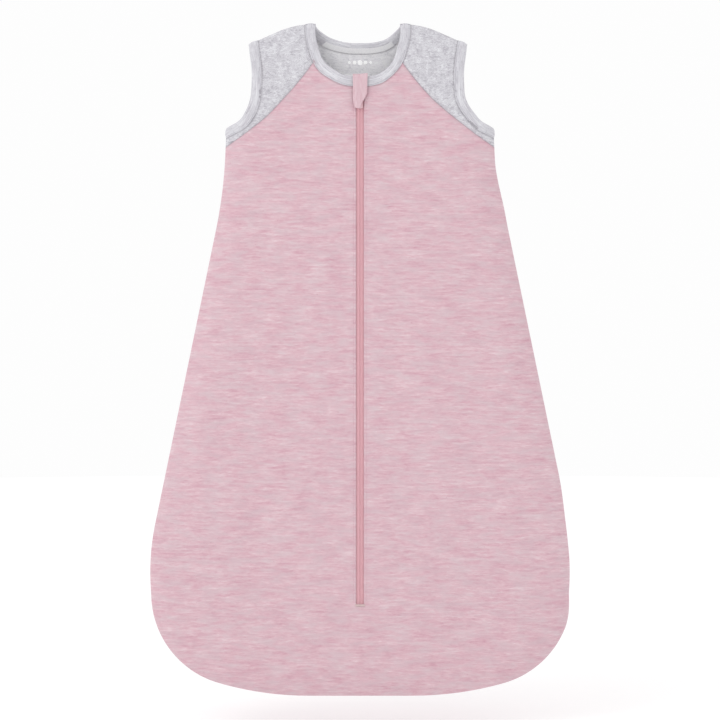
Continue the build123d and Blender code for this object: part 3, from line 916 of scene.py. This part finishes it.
def melange(name, shades, fleck, tint, stitch, streak, contrast=1.0, fleck_share=0.7, waver=0.0, hem=False):
    """Jersey knitted from marled yarn: streaks of yarn colour along its rows, flecks and small V stitches.
    streak is how many streaks lie in a metre, across and along the piece."""
    look = Look(name, 0.92, sheen=0.1, specular=0.1)
    across, along = streak
    long_streaks = look.noise((across, along), 2.0, 0.6, distortion=waver)
    short_streaks = look.noise((across * 3.3, along * 2.3), 2.0, 0.6, (0.37, 0.11, 0), waver)
    patches = look.noise((across * 0.55, along * 0.2), 2.0, 0.5, (0.2, 0.7, 0))
    mixed = look.scaled(long_streaks, 0.45, look.scaled(short_streaks, 0.3))
    mixed = look.math("ADD", mixed, look.scaled(patches, 0.25))
    mixed = look.scaled(look.math("SUBTRACT", mixed, 0.5), 2.2 * contrast, 0.5)
    shade = look.ramp(mixed, [(at, colour(*rgb)) for at, *rgb in shades])
    greyer = look.noise((across * 0.8, along * 0.33), 3.0, 0.6, (0.6, 0.2, 0))
    amount = look.ramp(greyer, [(0.42, BLACK), (0.66, WHITE)])
    shade = look.mix(look.scaled(amount, 0.55), shade, colour(*tint))
    flecks = look.noise((across * 8, along * 1.7), 2.0, 0.5, (0.9, 0.3, 0))
    spots = look.ramp(flecks, [(fleck_share, BLACK), (fleck_share + 0.07, WHITE)])
    shade = look.mix(spots, shade, colour(*fleck))
    knit = look.knit(*stitch)
    shade = look.mix(0.6, shade, look.ramp(knit, [(0.0, grey(0.9)), (0.55, WHITE)]), "MULTIPLY")
    # With hem, painted shade on the binding: darker where it tucks under against the cloth and in the
    # groove along its stitching
    if hem:
        rows = [(0.0, grey(0.5)), (0.055, (0.55, 0.55, 0.56, 1)), (0.085, WHITE), (0.125, WHITE),
                (0.14, (0.8, 0.8, 0.81, 1)), (0.155, WHITE)]
        edge = look.ramp(look.scaled(look.uv_parts((1000, 1000))[1], 0.05), rows)
        shade = look.mix(1.0, shade, edge, "MULTIPLY")
    else:
        # Painted shade: the colour is darkened along the seams, the bindings' edges and the slit's edge
        seam = look.node("ShaderNodeAttribute", attribute_name="seam_shade")
        darker = look.mix(1.0, shade, (0.55, 0.53, 0.55, 1), "MULTIPLY")
        shade = look.mix(look.scaled(seam.outputs["Fac"], 0.8), shade, darker)
    fuzz = look.noise((900, 900), 3.0, 0.7, (0.1, 0.5, 0))
    normal = look.bump(knit, 0.0003, 0.55)
    normal = look.bump(mixed, 0.0010, 0.3, normal)
    normal = look.bump(fuzz, 0.0004, 0.3, normal)
    return look.finish(shade, normal, look.scaled(fuzz, 0.12, 0.84))


def woven(name, base, dark, light, across, along, sheen=0.05, roughness=0.75, chevron=True):
    """Woven tape: diagonal ribs that change direction, as in a herringbone."""
    look = Look(name, roughness, sheen, specular=0.25)
    u, v = look.uv_parts((1 / across, 1 / along))
    slant = look.math("PINGPONG", u, 1.0) if chevron else u
    ribs = look.math("SINE", look.scaled(look.scaled(slant, 1.6, v), 2 * math.pi))
    ribs = look.scaled(ribs, 0.5, 0.5)
    fibres = look.noise((700, 160), 3.0, 0.6)
    mixed = look.scaled(ribs, 0.6, look.scaled(fibres, 0.4))
    shade = look.ramp(mixed, [(0.15, colour(*dark)), (0.5, colour(*base)), (0.85, colour(*light))])
    normal = look.bump(fibres, 0.0002, 0.3, look.bump(ribs, 0.00025, 0.7))
    return look.finish(shade, normal, look.scaled(fibres, 0.2, roughness - 0.1))


def thread(name, base, dark):
    """Sewing thread: two plies that wind round each other."""
    look = Look(name, 0.6, sheen=0.1, specular=0.3)
    u, v = look.uv_parts((1 / 0.00045, 1000 / (2 * math.pi)))
    plies = look.scaled(look.math("SINE", look.scaled(look.math("ADD", u, v), TURN)), 0.5, 0.5)
    shade = look.ramp(plies, [(0.0, colour(*dark)), (0.6, colour(*base))])
    return look.finish(shade, look.bump(plies, 0.00006, 0.8))


def enamel(name, base, mottle_and_edge_highlight, roughness, coat=0.3, glow=0.0):
    """Moulded or painted small parts: an even colour with faint mottling, and a painted highlight that
    makes them brighter on their edges.
    """
    look = Look(name, roughness, sheen=0.0, specular=0.5)
    look.dial("Coat Weight", coat)
    look.dial("Coat Roughness", 0.2)
    if glow:
        look.glow(glow)
    grain = look.grain(420.0, 3.0)
    # Painted highlight: the colour turns lighter on sharp edges, where the pointiness is high
    edges = look.node("ShaderNodeNewGeometry")
    rim = look.ramp(edges.outputs["Pointiness"], [(0.5, BLACK), (0.62, WHITE)])
    shade = look.mix(rim, colour(*base), colour(*mottle_and_edge_highlight))
    shade = look.mix(look.scaled(grain, 0.18), shade, colour(*mottle_and_edge_highlight))
    return look.finish(shade, look.bump(grain, 0.00008, 0.4), look.scaled(grain, 0.15, roughness - 0.07))


LOOKS = {
    "pink": melange(
        "pink_jersey",
        [(0.1, 203, 156, 170), (0.32, 212, 171, 183), (0.52, 219, 184, 193), (0.7, 225, 197, 204),
         (0.9, 232, 212, 217)],
        (200, 150, 165), (212, 193, 199), (0.0011, 0.0009), (58, 400), contrast=0.95, waver=0.5,
    ),
    "grey": melange(
        "grey_jersey",
        [(0.1, 176, 173, 181), (0.32, 196, 193, 200), (0.5, 211, 209, 215), (0.7, 223, 222, 227),
         (0.9, 234, 234, 238)],
        (170, 167, 176), (212, 211, 216), (0.0011, 0.0009), (240, 560),
        contrast=1.6, fleck_share=0.6, waver=1.3,
    ),
    "lining": melange(
        "lining_jersey", [(0.1, 208, 207, 213), (0.5, 240, 239, 242), (0.9, 251, 251, 252)],
        (206, 204, 211), (239, 238, 241), (0.0012, 0.001), (240, 560), contrast=1.35, waver=1.3,
    ),
    "rib": melange(
        "grey_rib",
        [(0.1, 178, 175, 183), (0.32, 198, 195, 202), (0.5, 211, 209, 215), (0.7, 222, 221, 226),
         (0.9, 233, 233, 237)],
        (168, 166, 175), (210, 210, 215), (0.0016, 0.0010), (55, 700),
        # hem: painted shade at the binding's edge where it tucks against the cloth, and along its stitching
        # groove
        contrast=1.3, fleck_share=0.64, hem=True,
    ),
    "garage": melange(
        "garage_jersey", [(0.1, 206, 164, 175), (0.5, 219, 188, 196), (0.9, 230, 208, 213)],
        (205, 160, 172), (218, 193, 200), (0.0011, 0.0009), (260, 70),
    ),
    "tape": woven("zip_tape", (221, 170, 178), (207, 150, 160), (231, 186, 193), 0.0016, 0.0011),
    "neck_tape": woven("white_tape", (228, 227, 229), (208, 207, 211), (240, 240, 241), 0.0022, 0.0012),
    "label": woven(
        "label_satin", (240, 239, 238), (228, 227, 226), (248, 248, 247), 0.0009, 0.0004,
        sheen=0.1, roughness=0.5, chevron=False,
    ),
    "pink_thread": thread("pink_thread", (226, 192, 200), (205, 163, 174)),
    "grey_thread": thread("grey_thread", (202, 200, 207), (178, 176, 184)),
    "tack_thread": thread("tack_thread", (226, 208, 206), (196, 168, 168)),
    # The second colour of each enamel is its faint mottling and its painted highlight on sharp edges
    "coil": enamel("zip_coil_plastic", (216, 164, 173), (232, 192, 199), 0.38),
    "stop": enamel("stop_plastic", (212, 160, 169), (228, 184, 191), 0.4),
    "slider": enamel("slider_paint", (219, 170, 179), (235, 203, 209), 0.34, coat=0.5),
    "print": enamel("white_print", (250, 250, 251), (254, 254, 254), 0.6, coat=0.0, glow=0.12),
}

# ---------------------------------------------------------------- which piece is what


def sided(names):
    """Names with a star stand for two, left and right."""
    return [name.replace("*", side) for name in names for side in (SIDES if "*" in name else ("",))]


# The look of each group of pieces, and its slot
GROUPS = [
    ("pink", "pink_jersey", ["front_cloth_*", "back_cloth"]),
    ("grey", "grey_jersey", ["yoke_*"]),
    ("lining", "lining_jersey", ["front_lining_*", "back_lining", "guard"]),
    ("rib", "grey_rib", ["neckband_*", "neckband_back", "arm_binding_*"]),
    ("grey_thread", "thread", ["neck_stitches_*", "neck_stitches_back"]),
    ("grey_thread", "thread", ["arm_stitches_front", "arm_stitches_back"]),
    ("pink_thread", "thread", ["zip_stitches_*", "garage_stitches"]),
    ("tape", "zip_tape", ["tape_*"]),
    ("coil", "zip_plastic", ["coil_*"]),
    ("tack_thread", "thread", ["bar_tack"]),
    ("garage", "pink_jersey", ["garage_tab"]),
    ("neck_tape", "white_tape", ["neck_tape_strip"]),
    ("label", "label_satin", ["side_label"]),
    ("print", None, ["neck_dots"]),
]
for look_name, slot, names in GROUPS:
    for piece_name in sided(names):
        pieces[piece_name].data.materials.append(LOOKS[look_name])

NODE_LOOKS = {
    "slider_body": "slider", "slider_crown": "slider", "zip_pull": "slider", "zip_bottom_stop": "stop",
    "zip_top_stop_left": "stop", "zip_top_stop_right": "stop",
}
for node_name, look_name in NODE_LOOKS.items():
    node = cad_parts[node_name]
    node.data.materials.clear()
    node.data.materials.append(LOOKS[look_name])
    softened = node.modifiers.new("edges", "BEVEL")
    softened.width = 0.00018
    softened.segments = 3
    softened.limit_method = "ANGLE"

REPLACED = {
    "front_cloth_*": ["front_flap_*", "front_panel"],
    "back_cloth": ["back_panel"],
    "yoke_*": ["shoulder_yoke_*"],
    "front_lining_*": ["lining_flap_*", "lining_front"],
    "back_lining": ["lining_back"],
    "neckband_*": ["neck_binding_*"],
    "neckband_back": ["neck_binding_back"],
    "arm_binding_*": ["armhole_binding_*"],
    "tape_*": ["zip_tape_*"],
    "coil_*": ["zip_coil_*"],
    "guard": ["zip_guard"],
    "bar_tack": ["zip_bar_tack"],
    "garage_tab": ["zip_garage", "garage_anchor"],
    "neck_tape_strip": ["neck_tape"],
    "side_label": ["care_label"],
}
for starred, node_names in REPLACED.items():
    for side, piece_name in zip(SIDES, sided([starred])):
        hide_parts(*[name.replace("*", side) for name in node_names])

# ---------------------------------------------------------------- placements baked, and still pieces held to the bag


def with_flap(piece):
    """The piece's placement, baked into its points."""
    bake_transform(piece)


MOVE_WITH_FLAP = (
    "front_cloth", "front_lining", "neckband", "neck_stitches", "zip_stitches", "tape", "coil"
)
for side_name in SIDES:
    for stem in MOVE_WITH_FLAP:
        with_flap(pieces[f"{stem}_{side_name}"])
with_flap(pieces["guard"])
# The garage's tab and its stitches, with their placement baked in
for piece_name in ("garage_tab", "garage_stitches"):
    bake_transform(pieces[piece_name])
STILL = [
    "back_cloth", "yoke_*", "back_lining", "neckband_back", "arm_binding_*", "neck_stitches_back",
    "arm_stitches_front", "arm_stitches_back", "bar_tack", "neck_tape_strip", "side_label", "neck_dots",
]
for piece_name in sided(STILL):
    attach(pieces[piece_name], "bag")

# ---------------------------------------------------------------- studio

floor_mesh = bpy.data.meshes.new("floor")
FLOOR_RADIUS, FLOOR_BACK, FLOOR_Z, FLOOR_CORNERS = 4, 1, -0.732, 64
floor_turns = np.linspace(0, 2 * math.pi, FLOOR_CORNERS, endpoint=False)
ring = [
    (FLOOR_RADIUS * math.cos(a), FLOOR_RADIUS * math.sin(a) + FLOOR_BACK, FLOOR_Z) for a in floor_turns
]
floor_mesh.from_pydata(ring, [], [list(range(FLOOR_CORNERS))])
floor = bpy.data.objects.new("floor", floor_mesh)
bpy.context.scene.collection.objects.link(floor)
pale = Look("pale_floor", 0.9, sheen=0.0, specular=0.0)
pale.glow(0.1)
speck = pale.grain(3.0, 2.0)
floor.data.materials.append(pale.finish(pale.ramp(speck, [(0.3, grey(0.93)), (0.7, grey(0.95))])))

world = bpy.data.worlds.new("studio")
bpy.context.scene.world = world
world.use_nodes = True
world.node_tree.nodes["Background"].inputs["Color"].default_value = (0.985, 0.985, 0.985, 1)
world.node_tree.nodes["Background"].inputs["Strength"].default_value = 1.0


def softbox(name, place, aim, size, power):
    data = bpy.data.lights.new(name, "AREA")
    data.shape = "RECTANGLE"
    data.size = size[0]
    data.size_y = size[1]
    data.energy = power
    made = bpy.data.objects.new(name, data)
    bpy.context.scene.collection.objects.link(made)
    made.location = place
    made.rotation_euler = (Vector(aim) - Vector(place)).to_track_quat("-Z", "Y").to_euler()


softbox("key", (-1.3, -1.5, 0.9), (0, 0, -0.35), (1.2, 1.2), 9.0)

camera_data = bpy.data.cameras.new("camera")
camera_data.lens = 110
camera_data.sensor_width = 36
camera_data.clip_end = 50
camera = bpy.data.objects.new("camera", camera_data)
bpy.context.scene.collection.objects.link(camera)
camera.location = (0, -2.2935, -0.350)
camera.rotation_euler = (math.pi / 2, 0, 0)
bpy.context.scene.camera = camera
bpy.context.scene.view_settings.view_transform = "Standard"
